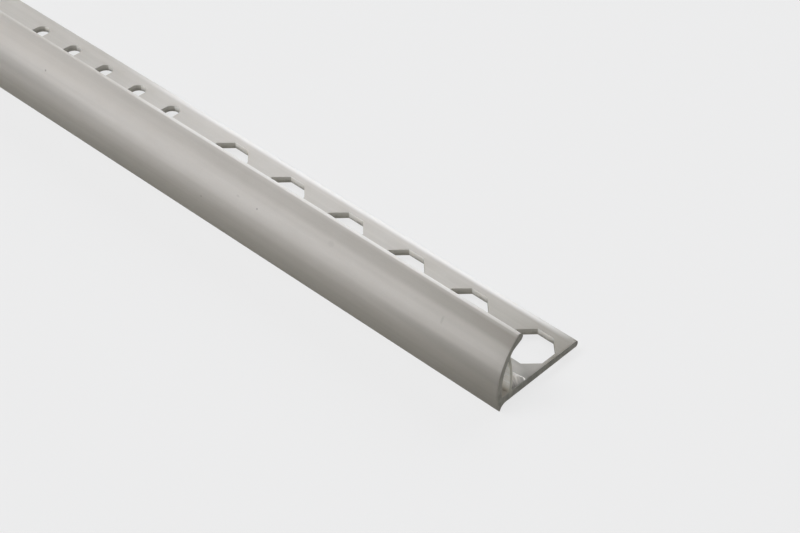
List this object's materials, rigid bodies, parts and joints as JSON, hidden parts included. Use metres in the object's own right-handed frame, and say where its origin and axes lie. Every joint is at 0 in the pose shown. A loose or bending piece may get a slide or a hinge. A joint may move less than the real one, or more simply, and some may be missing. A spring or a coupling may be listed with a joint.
{
  "type": "tile edge trim",
  "caption": "Round-edge tile trim: a curved outer face on a thin web and a perforated fixing leg with octagonal keying holes, extruded as one strip.",
  "frame": {"origin": "middle of the strip's length and width, at the level of the toe's lowest line", "axes": "+X along the strip towards the end with the first keying hole, +Y from the curved face to the leg's tip, +Z from the leg's bedding side up to the lip"},
  "size_m": [1.83, 0.0194, 0.0136],
  "materials": {
    "pvc": "satin"
  },
  "bodies": {
    "root": {"edge_trim": "pvc"}
  },
  "joints": []
}
